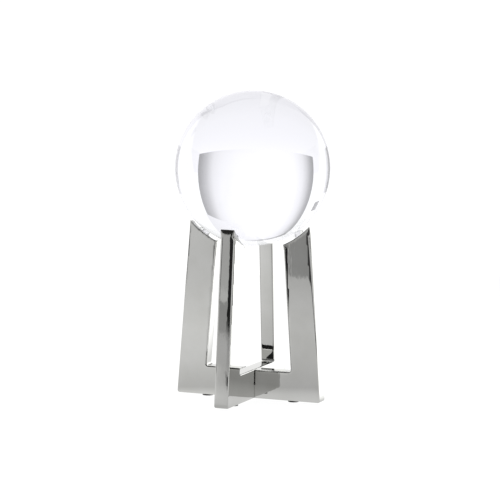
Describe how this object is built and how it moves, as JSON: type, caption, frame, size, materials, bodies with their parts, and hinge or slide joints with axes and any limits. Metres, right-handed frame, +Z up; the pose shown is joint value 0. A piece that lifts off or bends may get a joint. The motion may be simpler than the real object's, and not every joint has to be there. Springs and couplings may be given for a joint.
{
  "type": "crystal ball on stand",
  "caption": "Clear crystal ball that rests on clear bumpers in a polished metal stand made of crossed U-shaped plates with leaning legs.",
  "frame": {"origin": "on the floor, under the middle of the stand", "axes": "+Z up along the axis of the stand and the ball; +X along the lower cross plate; +Y along the upper cross plate"},
  "size_m": [0.1, 0.1, 0.2],
  "materials": {
    "clear_crystal": "polished, flawless",
    "polished_nickel": "mirror polished nickel plate",
    "screw_steel": "turned steel",
    "clear_silicone": "clear, soft",
    "black_rubber": "matt"
  },
  "bodies": {
    "stand": {"lower_cross_plate": "polished_nickel", "upper_cross_plate": "polished_nickel", "centre_screw": "screw_steel", "ball_bumper_left": "clear_silicone", "ball_bumper_right": "clear_silicone", "ball_bumper_front": "clear_silicone", "ball_bumper_back": "clear_silicone", "foot_pad_left": "black_rubber", "foot_pad_right": "black_rubber", "foot_pad_front": "black_rubber", "foot_pad_back": "black_rubber"},
    "ball": {"crystal_ball": "clear_crystal"}
  },
  "joints": [
    {"name": "ball_lift", "type": "slide", "parent": "stand", "child": "ball", "axis": [0, 0, 1], "range_m": [0, 0.12]}
  ]
}
